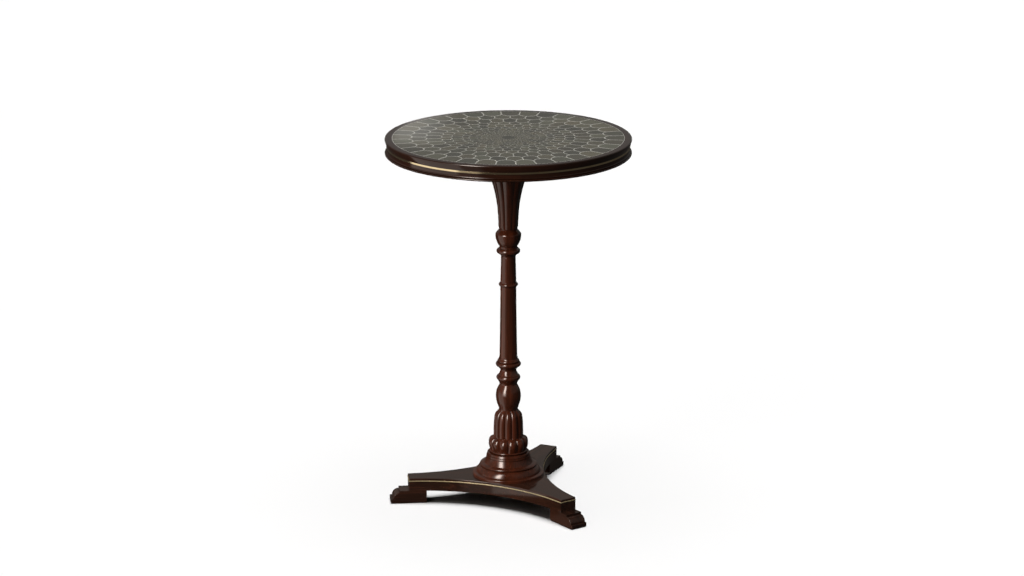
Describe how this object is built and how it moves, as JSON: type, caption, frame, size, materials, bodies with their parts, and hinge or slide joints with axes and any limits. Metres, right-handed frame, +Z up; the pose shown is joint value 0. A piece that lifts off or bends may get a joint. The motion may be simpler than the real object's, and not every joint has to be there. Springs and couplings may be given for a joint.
{
  "type": "round pedestal table",
  "caption": "Tall round table with an inlaid fish-scale top, a spool-shaped banded edge, a turned and carved column and a three-armed plinth on stepped feet.",
  "frame": {"origin": "on the floor, under the column's axis", "axes": "+Z up along the column; -X along the left arm of the plinth; -Y roughly towards the viewer of the picture"},
  "size_m": [0.72, 0.72, 1.1024],
  "materials": {
    "mahogany": "dark red-brown stain under high-gloss lacquer",
    "marquetry": "grey-green scale marquetry under high-gloss lacquer",
    "metal_band": "pale polished brass",
    "core_board": "plain board",
    "steel": "zinc-plated",
    "felt": "dense dark felt"
  },
  "bodies": {
    "root": {"foot_pads": "felt", "foot_screws": "steel", "foot_left": "mahogany", "foot_front": "mahogany", "foot_back": "mahogany", "plinth_body": "mahogany", "plinth_band": "metal_band", "plinth_slab": "mahogany", "socle": "mahogany", "gadroon_cushion": "mahogany", "reeded_drum": "mahogany", "urn": "mahogany", "lower_knop": "mahogany", "upper_knop": "mahogany", "lower_shaft": "mahogany", "shaft_bead": "mahogany", "upper_shaft": "mahogany", "cup": "mahogany", "capital": "mahogany", "tie_rod": "steel", "tie_rod_nuts": "steel", "tie_rod_washers": "steel", "top_block": "mahogany", "top_block_screws": "steel", "backing_board": "core_board", "top_core": "core_board", "apron_moulding": "mahogany", "rim_band": "metal_band", "rim_moulding": "mahogany", "panel_ring": "metal_band", "scale_panel": "marquetry"}
  },
  "joints": []
}
